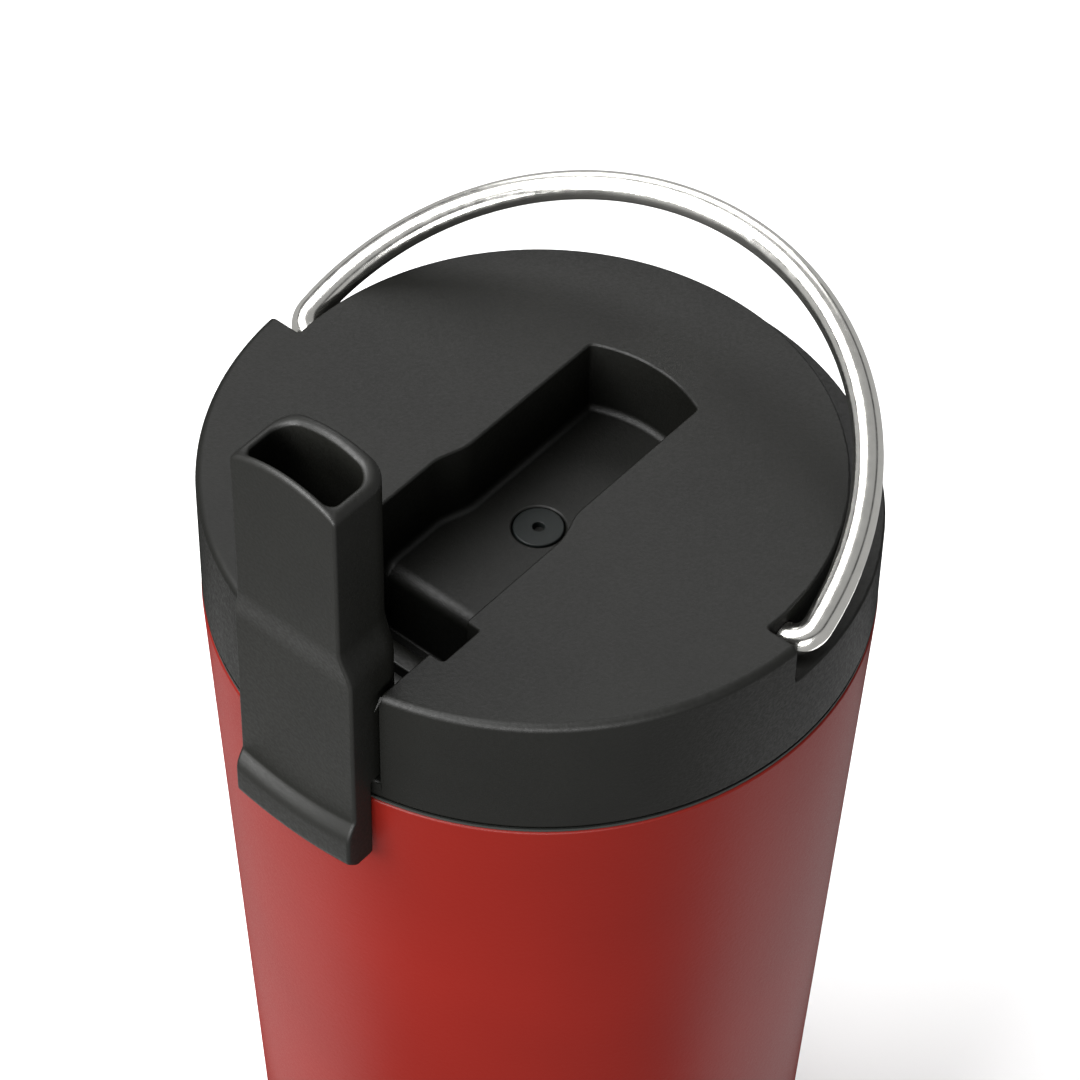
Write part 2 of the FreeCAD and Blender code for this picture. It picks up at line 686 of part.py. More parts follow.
# ----------------------------------------------------------------- the cup
def outer_shell():
    """Tapered steel wall, turned in at the lip and at the heel."""
    lip_r = 0.6
    heel_z = SHELL_FOOT + HEEL_R
    heel_r = shell_r(heel_z)
    bend = 1 - math.sqrt(0.5)
    inner = HEEL_R - SHELL_WALL
    return turned(
        rz(heel_r - HEEL_R, SHELL_FOOT),
        (rz(heel_r - HEEL_R * bend, SHELL_FOOT + HEEL_R * bend), rz(heel_r, heel_z)),
        rz(CUP_R, LIP_Z - lip_r),
        (rz(CUP_R - lip_r * bend, LIP_Z - lip_r * bend), rz(CUP_R - lip_r, LIP_Z)),
        rz(NECK_R + LINER_WALL, LIP_Z),
        rz(NECK_R + LINER_WALL, LIP_Z - SHELL_WALL),
        rz(CUP_R - SHELL_WALL - 0.2, LIP_Z - SHELL_WALL),
        rz(CUP_R - SHELL_WALL - 0.04, LIP_Z - SHELL_WALL - 0.6),
        rz(heel_r - SHELL_WALL, heel_z),
        (rz(heel_r - HEEL_R + inner * math.sqrt(0.5), heel_z - inner * math.sqrt(0.5)),
         rz(heel_r - HEEL_R, SHELL_FOOT + SHELL_WALL)),
    )


def inner_liner():
    """Steel bowl with a wider threaded neck."""
    out = LINER_WALL
    r_low = bowl_r(BOWL_FLOOR + BOWL_CORNER)
    diag = math.sqrt(0.5)
    corner_in = BOWL_CORNER
    corner_out = BOWL_CORNER + out
    centre_r = r_low - BOWL_CORNER
    centre_z = BOWL_FLOOR + BOWL_CORNER
    wall = turned(
        rz(0, BOWL_FLOOR), rz(centre_r, BOWL_FLOOR),
        (rz(centre_r + corner_in * diag, centre_z - corner_in * diag), rz(r_low, centre_z)),
        rz(BOWL_R, BOWL_TOP), rz(NECK_R, NECK_END), rz(NECK_R, LIP_Z),
        rz(NECK_R + out, LIP_Z), rz(NECK_R + out, NECK_END - 0.2),
        rz(BOWL_R + out, BOWL_TOP - 0.2), rz(r_low + out, centre_z),
        (rz(centre_r + corner_out * diag, centre_z - corner_out * diag),
         rz(centre_r, BOWL_FLOOR - out)),
        rz(0, BOWL_FLOOR - out),
    )
    half_pitch = LEAD / STARTS / 2.0
    return one_solid(wall.fuse(thread(NECK_CREST, NECK_R, NECK_THREAD, half_pitch)))


def radiation_foil():
    """Metal foil wrapped round the liner inside the vacuum."""
    gap = LINER_WALL + 0.5
    thick = 0.2
    low, high = 24.0, 128.0
    return turned(rz(bowl_r(low) + gap, low), rz(bowl_r(high) + gap, high),
                  rz(bowl_r(high) + gap + thick, high), rz(bowl_r(low) + gap + thick, low))


def vacuum_bottom():
    """Dished plate that closes the vacuum, with the pumping hole in a dimple."""
    rim = shell_r(SHELL_FOOT + HEEL_R) - SHELL_WALL - 0.05
    return turned(
        rz(0.5, 5.4), rz(3.0, 5.4), rz(6.0, 7.0), rz(rim - 2.0, 7.0),
        rz(rim - 0.3, 6.2), rz(rim, 9.0), rz(rim - 0.6, 9.0), rz(rim - 0.9, 7.2),
        rz(rim - 2.2, 7.6), rz(5.8, 7.6), rz(2.8, 6.0), rz(0.5, 6.0))


def vacuum_seal():
    """Bead of sealing glass in the dimple."""
    return turned(rz(0, 4.5), rz(1.6, 4.6), (rz(2.3, 4.9), rz(2.6, 5.38)), rz(0, 5.38))


def getter():
    return disc(4.0, 8.6, 10.2, x=16.0)


def getter_clip():
    """Small strap that holds the getter on the plate."""
    ring = tube(4.1, 4.6, 7.62, 10.6, x=16.0)
    lid = tube(2.6, 4.6, 10.3, 10.7, x=16.0)
    return one_solid(ring.fuse(lid))


def base_cover():
    """Steel pan that hides the plate and holds the foot pad."""
    return turned(
        rz(0, 2.9), rz(PAD_R + 0.3, 2.9), rz(PAD_R + 0.9, SHELL_FOOT), rz(PAN_R, SHELL_FOOT),
        rz(PAN_R, SHELL_FOOT + 0.6), rz(PAD_R + 1.4, SHELL_FOOT + 0.6),
        rz(PAD_R + 0.8, 3.5), rz(0, 3.5))


def foot_pad():
    """Silicone pad with one ring groove in its flat underside."""
    pad = turned(rz(0, 0), rz(PAD_R - 0.6, 0), rz(PAD_R, 0.6), rz(PAD_R, 2.88), rz(0, 2.88))
    return pad.cut(tube(22.0, 23.2, -1, 0.5))


os.makedirs("parts", exist_ok=True)

save("outer_shell", outer_shell())
save("inner_liner", inner_liner())
save("radiation_foil", radiation_foil())
save("vacuum_bottom", vacuum_bottom())
save("vacuum_seal", vacuum_seal())
save("getter", getter())
save("getter_clip", getter_clip())
save("base_cover", base_cover())
save("foot_pad", foot_pad())

save("lid_cover", lid_cover())
save("lid_base", lid_base())
save("lid_insulation", lid_insulation())
save("lid_gasket", lid_gasket())
save("spout_seal", spout_seal())
save("duct_gasket", duct_gasket())
save("vent_grommet", vent_grommet())
save("bail_bush_left", bail_bush(-1))
save("bail_bush_right", bail_bush(1))

save("spout", spout())
save("vent_plug", vent_plug())

save("bail_handle", bail_handle())
save("bail_clip_left", bail_clip(-1))
save("bail_clip_right", bail_clip(1))
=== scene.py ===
import json
import math

import bmesh
import bpy
from mathutils import Matrix, Vector


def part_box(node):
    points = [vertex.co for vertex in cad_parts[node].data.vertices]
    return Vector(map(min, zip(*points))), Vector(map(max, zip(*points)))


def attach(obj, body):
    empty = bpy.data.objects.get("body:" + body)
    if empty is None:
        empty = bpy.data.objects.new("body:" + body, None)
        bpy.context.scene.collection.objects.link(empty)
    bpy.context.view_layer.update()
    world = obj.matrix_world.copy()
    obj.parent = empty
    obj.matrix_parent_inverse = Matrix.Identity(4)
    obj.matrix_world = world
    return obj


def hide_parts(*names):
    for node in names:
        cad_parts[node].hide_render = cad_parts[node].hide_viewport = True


# Looks of the insulated travel mug: moulded lid, flip-up spout, steel bail and
# powder-coated cup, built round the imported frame.  The mesh helpers take
# millimetres in the frame's axes and make objects in metres, +Z up.

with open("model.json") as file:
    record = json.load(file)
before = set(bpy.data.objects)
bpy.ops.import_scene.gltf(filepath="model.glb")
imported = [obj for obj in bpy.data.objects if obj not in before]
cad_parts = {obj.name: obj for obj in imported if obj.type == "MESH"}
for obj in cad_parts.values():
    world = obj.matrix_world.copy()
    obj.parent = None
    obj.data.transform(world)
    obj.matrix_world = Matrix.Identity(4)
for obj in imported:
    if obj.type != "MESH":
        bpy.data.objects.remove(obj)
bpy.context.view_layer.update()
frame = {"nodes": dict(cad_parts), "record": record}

MM = 0.001
ROUND = 288                       # facets round the mug's full circle

# --------------------------------- camera: bearing, aim in degrees and lens
CAMERA_AZIMUTH = 39.6
CAMERA_ELEVATION = 46.632
CAMERA_DISTANCE = 566.4 * MM      # from the middle of the lid's top
CAMERA_PITCH = 47.658
CAMERA_YAW = -0.014
CAMERA_ROLL = 1.082
LENS = 145.5

# ------------------------------------------ places that come from the frame
LID_TOP = round(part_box("lid_cover")[1].z / MM, 3)
POCKET_UNDER = round(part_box("lid_cover")[0].z / MM, 3)
CUP_LIP = round(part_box("outer_shell")[1].z / MM, 3)
SHELL_FOOT = round(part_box("outer_shell")[0].z / MM, 3)
PAD_R = round(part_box("foot_pad")[1].x / MM, 2)

# ------------------------------------------------------- lid, millimetres
LID_R = 45.0
SKIRT_END = LID_TOP - 19.9
HOLLOW_R = 42.4                   # inside of the skirt
HOLLOW_TOP = SKIRT_END + 2.4
CROWN_R = 1.1                     # rounding of the front top edge
MOULD_R = 0.4                     # rounding of every other moulded edge
LEDGE_R = 40.0                    # wall behind the folded bail
LEDGE_Z = LID_TOP - 6.5           # ledge under the folded bail
LEDGE_FRONT = -3.2                # the ledge's ends, in front of the bail's pins
BUSH_BORE_R = 3.0
ROD_GAP = 0.12                    # clearance round the bail in the lid's wall
GROOVE_Z = LID_TOP - 12.0         # floor of the spout's groove
GROOVE_NARROW = 9.1               # half widths of the groove
GROOVE_WIDE = 10.6
BEND_Y = (-3.0, -9.5)             # where the groove widens
GROOVE_END = 22.9                 # round far end of the groove
GROOVE_END_R = 20.0
GROOVE_FLOOR_R = 1.0              # fillet between the floor and the walls
FLOOR_LIP_Y = -19.2               # rolled front end of the floor
FLOOR_LIP_R = 2.0
POCKET_Z = LID_TOP - 23.2         # floor of the pocket for the spout's drum
POCKET_FRONT = -36.25
POCKET_WALL = 1.8
SLOT_Z = LID_TOP - 16.75          # floor of the slot through the skirt
TRUNNION_R = 3.3
TRUNNION_SLOT = (12.8, 3.45)      # half length along X and radius
TRUNNION_WALL = 1.4
VENT_SEAT_R = 3.57
VENT_Y = -0.5

# ----------------------------------------------------- spout, millimetres
PIVOT_Y = -30.65                  # hinge line of the spout
PIVOT_Z = LID_TOP - 17.15
SPOUT_HALF = (9.8, 8.5)           # wide and narrow half widths
SPOUT_BEND = (3.6, 10.4)          # the bend's ends above the lid
SPOUT_FRONT = (-47.8, -48.4)      # front face of the wide and narrow ends
SPOUT_BACK = -38.0
SPOUT_TIP = 36.0                  # height of the open mouth above the lid
TIP_R = 19.5                      # rounding of the mouth seen from the front
FRONT_EDGE_R = 0.45
DRUM_R = 5.2
MOUTH_HALF = 7.0
MOUTH_Y = (-47.35, -40.15)
MOUTH_BOW = 0.4                   # how far the mouth's back edge bulges
TAIL_BACK_R = 45.4                # hollow back in front of the skirt
SHUT_AXIS = 13.5                  # lid's axis on the open spout, above the lid

# ------------------------------------------------------ bail, millimetres
BAIL_Z = LID_TOP - 4.0            # hinge line of the bail
BAIL_R = 43.3
BAIL_TILT = 25.0                  # degrees above the ledge
BAIL_BEND = 3.0                   # bend between the pins and the bow
ROD_R = 2.0
PIN_END = 32.8

# ------------------------------------------------------- cup, millimetres
CUP_R = 45.07                     # outside of the lip
CUP_TAPER = 0.045                 # radius lost per millimetre down
CUP_WALL = 0.6
CUP_HEEL_R = 5.0
CUP_LIP_R = 0.35
NECK_R = (42.6, 44.3)             # edge of the turned-in lip, and its root
PAD_TOP = 2.88
PAD_EDGE_R = 0.6
PAD_GROOVE = (22.0, 23.2)         # ring moulded into the foot pad
PAD_GROOVE_DEEP = 0.45


# ------------------------------------------------------------ mesh helpers
def to_object(name, bm):
    """Mesh object in metres from a bmesh in millimetres, with outward normals."""
    bmesh.ops.remove_doubles(bm, verts=bm.verts, dist=1e-4)
    bmesh.ops.scale(bm, vec=(MM, MM, MM), verts=bm.verts)
    bmesh.ops.recalc_face_normals(bm, faces=bm.faces)
    mesh = bpy.data.meshes.new(name)
    bm.to_mesh(mesh)
    bm.free()
    piece = bpy.data.objects.new(name, mesh)
    bpy.context.scene.collection.objects.link(piece)
    return piece


def arc(centre, radius, first, last, steps):
    """Points of an arc in a plane, angles in degrees, both ends included."""
    points = []
    for i in range(steps + 1):
        angle = math.radians(first + (last - first) * i / steps)
        points.append((centre[0] + radius * math.cos(angle),
                       centre[1] + radius * math.sin(angle)))
    return points


def lathe(name, profile, steps=ROUND):
    """Solid of revolution from a closed outline of (radius, height)."""
    bm = bmesh.new()
    columns = []
    for r, z in profile:
        if r < 1e-9:
            columns.append([bm.verts.new((0, 0, z))] * steps)
            continue
        turn = [2 * math.pi * i / steps for i in range(steps)]
        columns.append([bm.verts.new((r * math.cos(a), r * math.sin(a), z)) for a in turn])
    count = len(columns)
    for k in range(count):
        low, high = columns[k], columns[(k + 1) % count]
        for i in range(steps):
            j = (i + 1) % steps
            corners = []
            for vert in (low[i], low[j], high[j], high[i]):
                if vert not in corners:
                    corners.append(vert)
            if len(corners) > 2:
                bm.faces.new(corners)
    return to_object(name, bm)


def prism(name, plan, low, high):
    """Upright prism over a plan outline of (x, y)."""
    bm = bmesh.new()
    bottom = [bm.verts.new((x, y, low)) for x, y in plan]
    top = [bm.verts.new((x, y, high)) for x, y in plan]
    bm.faces.new(bottom)
    bm.faces.new(top)
    for i in range(len(plan)):
        j = (i + 1) % len(plan)
        bm.faces.new((bottom[i], bottom[j], top[j], top[i]))
    return to_object(name, bm)


def side_prism(name, outline, half):
    """Prism across X over a side outline of (y, z)."""
    bm = bmesh.new()
    left = [bm.verts.new((-half, y, z)) for y, z in outline]
    right = [bm.verts.new((half, y, z)) for y, z in outline]
    bm.faces.new(left)
    bm.faces.new(right)
    for i in range(len(outline)):
        j = (i + 1) % len(outline)
        bm.faces.new((left[i], left[j], right[j], right[i]))
    return to_object(name, bm)


def loft(name, rings, closed=False):
    """Skin over rings of equal point counts; the ends are capped unless closed."""
    bm = bmesh.new()
    rows = [[bm.verts.new(p) for p in ring] for ring in rings]
    last = len(rows) if closed else len(rows) - 1
    for k in range(last):
        low, high = rows[k], rows[(k + 1) % len(rows)]
        for i in range(len(low)):
            j = (i + 1) % len(low)
            bm.faces.new((low[i], low[j], high[j], high[i]))
    if not closed:
        bm.faces.new(rows[0])
        bm.faces.new(rows[-1])
    return to_object(name, bm)


def apply_modifiers(piece):
    """Bakes a piece's modifiers into its mesh."""
    graph = bpy.context.evaluated_depsgraph_get()
    graph.update()
    mesh = bpy.data.meshes.new_from_object(piece.evaluated_get(graph))
    old = piece.data
    piece.modifiers.clear()
    piece.data = mesh
    bpy.data.meshes.remove(old)
    return piece


def combine(piece, other, operation):
    """Exact boolean with another object, which is used up."""
    step = piece.modifiers.new("combine", "BOOLEAN")
    step.operation = operation
    step.solver = "EXACT"
    step.object = other
    apply_modifiers(piece)
    bpy.data.objects.remove(other)
    return piece


def cut(piece, *others):
    for other in others:
        combine(piece, other, "DIFFERENCE")
    return piece


def fuse(piece, *others):
    for other in others:
        combine(piece, other, "UNION")
    return piece


def overlap(piece, other):
    return combine(piece, other, "INTERSECT")


def round_edges(piece, width, steps=3, angle=28.0):
    """Rounds every edge sharper than an angle, as a moulding tool does."""
    bevel = piece.modifiers.new("round", "BEVEL")
    bevel.width = width * MM
    bevel.segments = steps
    bevel.limit_method = "ANGLE"
    bevel.angle_limit = math.radians(angle)
    bevel.miter_outer = "MITER_ARC"
    bevel.use_clamp_overlap = False
    bevel.loop_slide = True
    return apply_modifiers(piece)


def shade(piece, angle=30.0):
    """Smooth shading that keeps flat faces flat."""
    for face in piece.data.polygons:
        face.use_smooth = True
    piece.data.set_sharp_from_angle(angle=math.radians(angle))
    weigh = piece.modifiers.new("weigh normals", "WEIGHTED_NORMAL")
    weigh.keep_sharp = True
    weigh.weight = 100
    return piece


def finish_piece(piece, body, slot, material, *nodes):
    """Material, body and the CAD nodes that the piece stands for; slot is not used."""
    piece.data.materials.clear()
    piece.data.materials.append(material)
    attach(piece, body)
    if nodes:
        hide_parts(*nodes)
    return piece


def spun(name, profile, steps=ROUND):
    """Turned solid over an open outline of (radius, height); flat round ends."""
    rings = []
    for r, z in profile:
        turn = [2 * math.pi * i / steps for i in range(steps)]
        rings.append([(r * math.cos(a), r * math.sin(a), z) for a in turn])
    return loft(name, rings)


def move(piece, x, y, z):
    piece.data.transform(Matrix.Translation(Vector((x, y, z)) * MM))
    return piece


def rod_across(name, radius, x, y, z, steps=96):
    """Cylinder along X between two values of x."""
    turn = [2 * math.pi * i / steps for i in range(steps)]
    rings = [[(at, y + radius * math.cos(a), z + radius * math.sin(a)) for a in turn]
             for at in x]
    return loft(name, rings)


def ease(share):
    """Smooth step from 0 to 1."""
    share = min(1.0, max(0.0, share))
    return share * share * (3 - 2 * share)


# --------------------------------------------------------------- lid cover
def groove_plan(front):
    """Plan of the spout groove: round far end, narrow then wide sides."""
    steps = 20
    narrow, wide = GROOVE_NARROW, GROOVE_WIDE
    end_half = math.degrees(math.asin(narrow / GROOVE_END_R))
    points = arc((0, GROOVE_END - GROOVE_END_R), GROOVE_END_R,
                 90 - end_half, 90 + end_half, steps)
    side = []
    for i in range(steps + 1):
        share = i / steps
        side.append((narrow + (wide - narrow) * ease(share),
                     BEND_Y[0] + (BEND_Y[1] - BEND_Y[0]) * share))
    points += [(-x, y) for x, y in side]
    points += [(-wide, front), (wide, front)]
    points += side[::-1]
    return points


def round_floor(air):
    """Rounds the groove's floor corners and their run down into the pocket."""
    bm = bmesh.new()
    bm.from_mesh(air.data)

    def is_floor(face):
        normal = face.normal
        middle = face.calc_center_median() / MM
        if abs(normal.x) > 0.02 or middle.z < POCKET_Z + 0.1 or middle.y < POCKET_FRONT:
            return False
        return normal.z < -0.02 or (normal.y > 0.99 and middle.y < 0)

    edges = []
    for edge in bm.edges:
        floors = [is_floor(face) for face in edge.link_faces]
        walls = [abs(face.normal.z) < 0.02 for face in edge.link_faces]
        if floors[0] != floors[1] and walls[floors.index(False)]:
            edges.append(edge)
    bmesh.ops.bevel(bm, geom=edges, offset=GROOVE_FLOOR_R * MM, offset_type="OFFSET", segments=7,
                    profile=0.5, affect="EDGES", clamp_overlap=False, loop_slide=True)
    bm.to_mesh(air.data)
    bm.free()
    return air


def groove_air():
    """Air of the groove, its rolled lip, the pocket and the slot through the skirt."""
    above = LID_TOP + 2
    roll = arc((FLOOR_LIP_Y + FLOOR_LIP_R, GROOVE_Z - FLOOR_LIP_R), FLOOR_LIP_R, 180, 90, 14)
    outline = [(-LID_R - 7, above), (-LID_R - 7, SLOT_Z), (POCKET_FRONT, SLOT_Z),
               (POCKET_FRONT, POCKET_Z), (FLOOR_LIP_Y, POCKET_Z)]
    outline += roll + [(GROOVE_END + 2, GROOVE_Z), (GROOVE_END + 2, above)]
    air = prism("groove air", groove_plan(-LID_R - 5), POCKET_Z - 1, above + 1)
    overlap(air, side_prism("groove side", outline, GROOVE_WIDE + 2))
    return round_floor(air)


def ledge_air():
    """Air over the ledge, outside the raised middle, in narrow sectors."""
    far = LID_R + 5
    start = math.degrees(math.asin(-LEDGE_FRONT / LEDGE_R))
    far_start = math.degrees(math.asin(-LEDGE_FRONT / far))
    steps = ROUND // 2
    near = arc((0, 0), LEDGE_R, -start, 180 + start, steps)
    away = arc((0, 0), far, -far_start, 180 + far_start, steps)
    above = LID_TOP + 2
    rings = [[(*a, LEDGE_Z), (*b, LEDGE_Z), (*b, above), (*a, above)] for a, b in zip(near, away)]
    return loft("ledge air", rings)


def rectangle(x, y):
    return [(x[0], y[0]), (x[1], y[0]), (x[1], y[1]), (x[0], y[1])]


def pocket_walls():
    """Box round the pocket, hanging in the hollow of the cover."""
    half = GROOVE_WIDE + POCKET_WALL
    ends = (POCKET_FRONT - POCKET_WALL, FLOOR_LIP_Y + POCKET_WALL)
    return prism("pocket walls", rectangle((-half, half), ends), POCKET_UNDER, SKIRT_END + 6)


def trunnion_walls():
    """Box round the trunnions' seats, beside the pocket."""
    half, radius = (size + TRUNNION_WALL for size in TRUNNION_SLOT)
    plan = rectangle((-half, half), (PIVOT_Y - radius, PIVOT_Y + radius))
    return prism("trunnion walls", plan, PIVOT_Z - radius, SKIRT_END + 5.2)


def trunnion_air():
    """Air that the trunnions drop in through, down to their round seats."""
    half, radius = TRUNNION_SLOT
    plan = rectangle((-half, half), (PIVOT_Y - radius, PIVOT_Y + radius))
    shaft = prism("trunnion shaft", plan, PIVOT_Z, LID_TOP + 2)
    return fuse(shaft, rod_across("trunnion seat", radius, (-half, half), PIVOT_Y, PIVOT_Z))


def make_lid_cover():
    crown = arc((LID_R - CROWN_R, LID_TOP - CROWN_R), CROWN_R, 0, 90, 8)
    cover = spun("lid_cover_shell", [(LID_R - 0.3, SKIRT_END), (LID_R, SKIRT_END + 0.3)] + crown)
    cut(cover, spun("hollow", [(HOLLOW_R, SKIRT_END - 1), (HOLLOW_R, HOLLOW_TOP)]))
    fuse(cover, pocket_walls(), trunnion_walls())
    vent = spun("vent seat", [(VENT_SEAT_R, GROOVE_Z - 0.9), (VENT_SEAT_R, GROOVE_Z + 1)], 72)
    cut(cover, ledge_air(), groove_air(), trunnion_air(), move(vent, 0, VENT_Y, 0))
    round_edges(cover, MOULD_R)
    for side in (-1, 1):
        outer = sorted((side * (LEDGE_R - 1), side * (LEDGE_R + 1)))
        bore = sorted((side * (LEDGE_R - 5.4), side * (LEDGE_R - 0.6)))
        cut(cover, rod_across("bail opening", ROD_R + ROD_GAP, outer, 0, BAIL_Z, 64),
            rod_across("bush bore", BUSH_BORE_R, bore, 0, BAIL_Z, 64))
    shade(cover)
    finish_piece(cover, "lid", "lid_plastic", MATERIALS["lid_plastic"], "lid_cover")


def make_vent_grommet():
    """Silicone button in the groove's floor with its air hole."""
    top = GROOVE_Z
    profile = [(2.1, top - 1.9), (2.1, top - 0.85), (3.42, top - 0.85), (3.42, top - 0.25)]
    profile += arc((3.2, top - 0.22), 0.22, 20, 90, 5)
    profile += arc((0.95, top - 0.15), 0.15, 90, 180, 5)
    profile += [(0.8, top - 2.9), (2.3, top - 2.9), (2.9, top - 1.9)]
    button = move(lathe("vent_button", profile, 96), 0, VENT_Y, 0)
    shade(button, 40)
    finish_piece(button, "lid", "vent_silicone", MATERIALS["vent_silicone"], "vent_grommet")


# ------------------------------------------------------------------- spout
def d_ring(half, front, back, front_r, back_r, height):
    """Ring of points round a D section; height is a function of x."""
    def corner(x, y, radius, first, steps):
        return arc((x, y), radius, first, first + 90, steps)

    points = []
    across = 10
    for i in range(1, across):
        x = -half + front_r + (2 * half - 2 * front_r) * i / across
        points.append((x, front))
    points += corner(half - front_r, front + front_r, front_r, -90, 6)
    for i in range(1, 8):
        points.append((half, front + front_r + (back - back_r - front - front_r) * i / 8))
    points += corner(half - back_r, back - back_r, back_r, 0, 9)
    for i in range(1, across):
        x = half - back_r - (2 * half - 2 * back_r) * i / across
        points.append((x, back))
    points += corner(-half + back_r, back - back_r, back_r, 90, 9)
    for i in range(1, 8):
        points.append((-half, back - back_r + (front + front_r - back + back_r) * i / 8))
    points += corner(-half + front_r, front + front_r, front_r, 180, 6)
    return [(x, y, height(x)) for x, y in points]


def crown_drop(x):
    return TIP_R - math.sqrt(TIP_R ** 2 - x ** 2)


def level_ring(half, front, back, front_r, back_r, z):
    return d_ring(half, front, back, front_r, back_r, lambda x: LID_TOP + z)


def tip_height(rise, drop):
    """Height of the mouth's rim over x, following the groove's round end."""
    return lambda x: LID_TOP + SPOUT_TIP + rise - drop * crown_drop(x)


def tail_ring(half, front, inset, front_r, z, bend=1.0):
    """Ring of the tail: hollow back, bent to follow the lid's edge once shut."""
    turn_r = SHUT_AXIS - z
    ring = d_ring(half, front, -TAIL_BACK_R - inset, front_r, 0.4,
                  lambda x: LID_TOP + z + bend * (turn_r - math.sqrt(turn_r ** 2 - x ** 2)))
    middle = (front - TAIL_BACK_R) / 2
    return [(x, y + TAIL_BACK_R - math.sqrt(TAIL_BACK_R ** 2 - x ** 2), height)
            if y > middle else (x, y, height) for x, y, height in ring]


def mouth_ring(rise, drop):
    """Ring of the mouth's bore with its bulging back edge."""
    ring = d_ring(MOUTH_HALF, MOUTH_Y[0], MOUTH_Y[1], 1.6, 2.6, tip_height(rise, drop))
    return [(x, y + MOUTH_BOW * (1 - (x / MOUTH_HALF) ** 2), z) if y > MOUTH_Y[1] - 1.5
            else (x, y, z) for x, y, z in ring]


def rolled_rim():
    """Rings from the tube's outside over the soft round rim to the bore."""
    narrow = SPOUT_HALF[1]
    outside = d_ring(narrow, SPOUT_FRONT[1], SPOUT_BACK, FRONT_EDGE_R, 3.2, tip_height(0, 1.0))
    inside = mouth_ring(0, 1.0)
    rings = []
    for turn in range(0, 181, 12):
        angle = math.radians(turn)
        share = (1 - math.cos(angle)) / 2
        depth = 1.0 if turn < 90 else 0.75
        sink = depth * (1 - math.sin(angle))
        rings.append([(a[0] + (b[0] - a[0]) * share, a[1] + (b[1] - a[1]) * share,
                       a[2] + (b[2] - a[2]) * share - sink)
                      for a, b in zip(outside, inside)])
    return rings


def spout_skin():
    """Tail, tube, rolled mouth and bore as one closed skin."""
    wide, narrow = SPOUT_HALF
    front = SPOUT_FRONT[0]
    edge = FRONT_EDGE_R
    rings = [
        tail_ring(wide - 0.5, -47.1, 0.8, 0.3, -32.0),
        tail_ring(wide - 0.15, -47.5, 0.25, 0.4, -31.85),
    ]
    thumb_lip = ((-47.9, -31.5), (-48.85, -30.6), (-49.05, -30.2), (-49.1, -29.7),
                 (-49.1, -26.6), (-49.07, -26.0), (-48.95, -25.4), (-48.75, -24.9),
                 (-48.45, -24.35), (-48.1, -23.8), (-47.9, -23.45), (-47.82, -23.2))
    for y, z in thumb_lip:
        rings.append(tail_ring(wide, y, 0, edge, z))
    for z, bend in ((-22.8, 1.0), (-20.0, 0.6), (-18.2, 0.25), (-17.0, 0)):
        rings.append(tail_ring(wide, front, 0, edge, z, bend))
    rings.append(level_ring(wide, front, -44.0, edge, 0.4, -16.5))
    rings.append(level_ring(wide, front, SPOUT_BACK - 0.4, edge, 2.7, -16.4))
    for z in (-16.1, -12, -8, -4, 0, 2.4):
        rings.append(level_ring(wide, front, SPOUT_BACK, edge, 3.0, z))
    steps = 16
    for i in range(steps + 1):
        share = i / steps
        z = SPOUT_BEND[0] + (SPOUT_BEND[1] - SPOUT_BEND[0]) * share
        half = wide + (narrow - wide) * ease(share)
        y = front + (SPOUT_FRONT[1] - front) * ease(share)
        rings.append(level_ring(half, y, SPOUT_BACK, edge, 3.0 + 0.2 * share, z))
    for z, drop in ((13, 0.0), (17, 0.1), (21, 0.3), (25, 0.55), (29, 0.8), (32, 0.95),
                    (34, 1.0)):
        rings.append(d_ring(narrow, SPOUT_FRONT[1], SPOUT_BACK, edge, 3.2,
                            lambda x, z=z, drop=drop: LID_TOP + z - drop * crown_drop(x)))
    rings += rolled_rim()
    for rise, drop in ((-1.6, 1.0), (-4, 0.7), (-9, 0.2), (-16, 0), (-25, 0)):
        rings.append(mouth_ring(rise, drop))
    for rise in (-33, -48):
        rings.append(d_ring(6.8, -46.85, -40.3, 1.2, 2.6, tip_height(rise, 0)))
    return loft("spout_shell", rings)


def spout_hub():
    """Neck, drum and notch behind the tube, seen from the side."""
    notch_z = PIVOT_Z + 2.65
    under = LID_TOP - 16.35
    meet = math.degrees(math.asin((under - PIVOT_Z) / DRUM_R))
    outline = [(SPOUT_BACK - 4, under)]
    outline += arc((PIVOT_Y, PIVOT_Z), DRUM_R, 180 - meet, 450, 60)
    outline += [(PIVOT_Y, notch_z), (PIVOT_Y - 3.4, notch_z), (SPOUT_BACK, PIVOT_Z + 7.6),
                (SPOUT_BACK - 4, PIVOT_Z + 12.5)]
    hub = side_prism("spout hub", outline, SPOUT_HALF[0] - 0.05)
    round_edges(hub, 0.3)
    pins = rod_across("trunnions", TRUNNION_R, (-12.5, 12.5), PIVOT_Y, PIVOT_Z)
    round_edges(pins, 0.3)
    return fuse(hub, pins)


def make_spout():
    skin = fuse(spout_skin(), spout_hub())
    shade(skin, 38)
    # The spout wears the lid's plastic painted lighter and glossier: painted light on its front
    # face.
    finish_piece(skin, "spout", "lid_plastic", MATERIALS["spout_plastic_lit"], "spout")


def make_vent_plug():
    """Silicone nub on the spout's back, which reaches the vent once shut."""
    reach = (PIVOT_Y - SPOUT_BACK) - (GROOVE_Z - PIVOT_Z) - 0.12
    nub = arc((2.1, reach - 0.7), 0.7, 0, 70, 6)
    profile = [(1.4, -1.0), (1.4, 0), (2.8, 0)] + nub + [(1.2, reach), (0.4, reach)]
    plug = spun("vent_stopper", profile, 72)
    plug.data.transform(Matrix.Rotation(math.radians(-90), 4, "X"))
    move(plug, 0, SPOUT_BACK, PIVOT_Z - PIVOT_Y + VENT_Y)
    round_edges(plug, 0.12, 2, 40)
    shade(plug, 40)
    finish_piece(plug, "spout", "vent_silicone", MATERIALS["vent_silicone"], "vent_plug")


